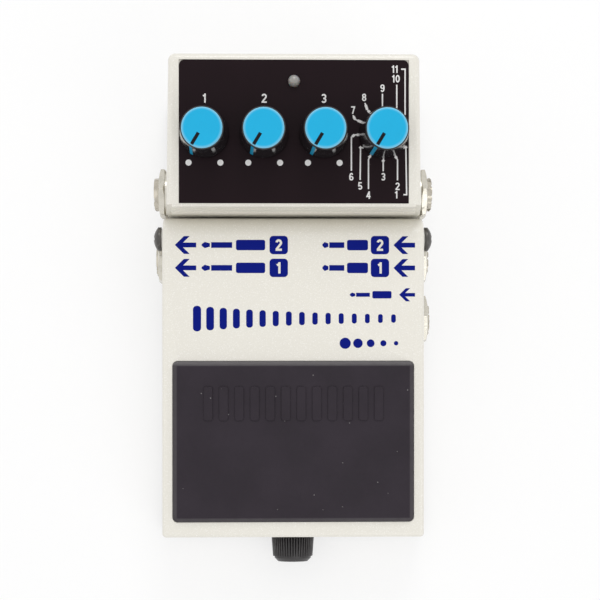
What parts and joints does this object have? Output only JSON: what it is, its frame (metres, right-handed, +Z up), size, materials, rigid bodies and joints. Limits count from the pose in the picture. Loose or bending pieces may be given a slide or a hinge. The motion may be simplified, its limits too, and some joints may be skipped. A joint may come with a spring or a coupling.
{
  "type": "delay pedal",
  "caption": "Compact foot-operated delay effect pedal with a hinged treadle over a battery bay, top control knobs, a mode dial, side audio sockets and a thumbscrew that locks the treadle.",
  "frame": {"origin": "centre of the base on the ground plane, under the rubber sheet", "axes": "+Z up, +Y to the rear (control panel end), +X to the player's right"},
  "size_m": [0.0734, 0.1289, 0.0592],
  "materials": {
    "pearl_paint": "satin pearl paint",
    "steel_plate": "plain",
    "black_rubber": "matte",
    "dark_screws": "black oxide",
    "panel_black": "satin black",
    "spring_steel": "bright",
    "white_bush": "natural nylon",
    "thumb_black": "moulded black",
    "steel": "zinc plated",
    "battery_can": "printed can",
    "nickel": "nickel plated",
    "black_plastic": "moulded black",
    "lead_red": "insulation",
    "lead_black": "insulation",
    "foam": "foam",
    "plunger_white": "moulded",
    "board_green": "solder mask",
    "spacer_brass": "turned",
    "ribbon_grey": "flat cable",
    "control_steel": "plated can",
    "shaft_alloy": "turned",
    "knob_black": "glossy black",
    "cap_blue": "satin blue",
    "lamp_lens": "milky lens"
  },
  "bodies": {
    "case": {"case_shell": "pearl_paint", "base_plate": "steel_plate", "base_rubber_sheet": "black_rubber", "base_screws": "dark_screws", "panel_plate": "panel_black", "hinge_screws": "dark_screws", "battery": "battery_can", "battery_terminals": "nickel", "battery_snap": "black_plastic", "battery_lead_red": "lead_red", "battery_lead_black": "lead_black", "battery_foam": "foam", "foot_switch_body": "black_plastic", "main_board": "board_green", "board_spacers": "spacer_brass", "board_screws": "steel", "main_board_parts": "black_plastic", "control_board": "board_green", "ribbon_header": "black_plastic", "ribbon_cable": "ribbon_grey", "level_pot": "control_steel", "feedback_pot": "control_steel", "time_pot": "control_steel", "mode_selector": "control_steel", "control_nuts": "nickel", "control_washers": "nickel", "indicator_lamp": "lamp_lens", "input_b_jack": "black_plastic", "input_a_jack": "black_plastic", "tempo_jack": "black_plastic", "output_b_jack": "black_plastic", "output_a_jack": "black_plastic", "jack_bushings": "nickel", "jack_nuts": "nickel", "jack_washers": "nickel", "jack_pins": "nickel", "power_inlet": "black_plastic", "power_inlet_pin": "nickel", "return_spring": "spring_steel"},
    "hinge_sleeves": {"hinge_bushes": "white_bush"},
    "lid": {"treadle": "pearl_paint", "treadle_pad": "black_rubber", "guide_bush": "white_bush", "switch_bumper": "black_rubber"},
    "switch_stem": {"foot_switch_plunger": "plunger_white"},
    "thumb_carriage": {"thumbscrew_washer": "steel"},
    "thumbscrew": {"thumbscrew_knob": "thumb_black", "thumbscrew_shaft": "steel"},
    "level_control": {"level_knob": "knob_black", "level_cap": "cap_blue", "level_shaft": "shaft_alloy"},
    "feedback_control": {"feedback_knob": "knob_black", "feedback_cap": "cap_blue", "feedback_shaft": "shaft_alloy"},
    "time_control": {"time_knob": "knob_black", "time_cap": "cap_blue", "time_shaft": "shaft_alloy"},
    "mode_control": {"mode_knob": "knob_black", "mode_cap": "cap_blue", "mode_shaft": "shaft_alloy"}
  },
  "joints": [
    {"name": "treadle_open", "type": "hinge", "parent": "case", "child": "hinge_sleeves", "pos_m": [0, 0.01631, 0.02731], "axis": [-1, 0, 0], "range_deg": [0, 80]},
    {"name": "treadle_press", "type": "hinge", "parent": "hinge_sleeves", "child": "lid", "pos_m": [0, 0.01631, 0.02731], "axis": [1, 0, 0], "range_deg": [0, 1.6], "stiffness_Nm_per_rad": 6, "springref_deg": -1.43, "deforming": ["return_spring"]},
    {"name": "foot_switch_press", "type": "slide", "parent": "case", "child": "switch_stem", "axis": [0, 0, -1], "range_m": [0, 0.00057]},
    {"name": "thumbscrew_advance", "type": "slide", "parent": "case", "child": "thumb_carriage", "axis": [0, 1, 0], "range_m": [0, 0.0021]},
    {"name": "thumbscrew_turn", "type": "hinge", "parent": "thumb_carriage", "child": "thumbscrew", "pos_m": [0, -0.061, 0.0088], "axis": [0, 1, 0], "range_deg": [0, 1080]},
    {"name": "level_turn", "type": "hinge", "parent": "case", "child": "level_control", "pos_m": [-0.02243, 0.03973, 0.04605], "axis": [0, 0.1392, -0.9903], "range_deg": [0, 300]},
    {"name": "feedback_turn", "type": "hinge", "parent": "case", "child": "feedback_control", "pos_m": [-0.00747, 0.03973, 0.04605], "axis": [0, 0.1392, -0.9903], "range_deg": [0, 300]},
    {"name": "time_turn", "type": "hinge", "parent": "case", "child": "time_control", "pos_m": [0.00747, 0.03973, 0.04605], "axis": [0, 0.1392, -0.9903], "range_deg": [0, 300]},
    {"name": "mode_turn", "type": "hinge", "parent": "case", "child": "mode_control", "pos_m": [0.02243, 0.03973, 0.04605], "axis": [0, 0.1392, -0.9903], "range_deg": [-90, 210]}
  ],
  "couplings": [
    {"joint": "foot_switch_press", "follows": "treadle_press", "m_per_rad": 0.020313},
    {"joint": "thumbscrew_advance", "follows": "thumbscrew_turn", "m_per_rad": 0.00011141}
  ]
}
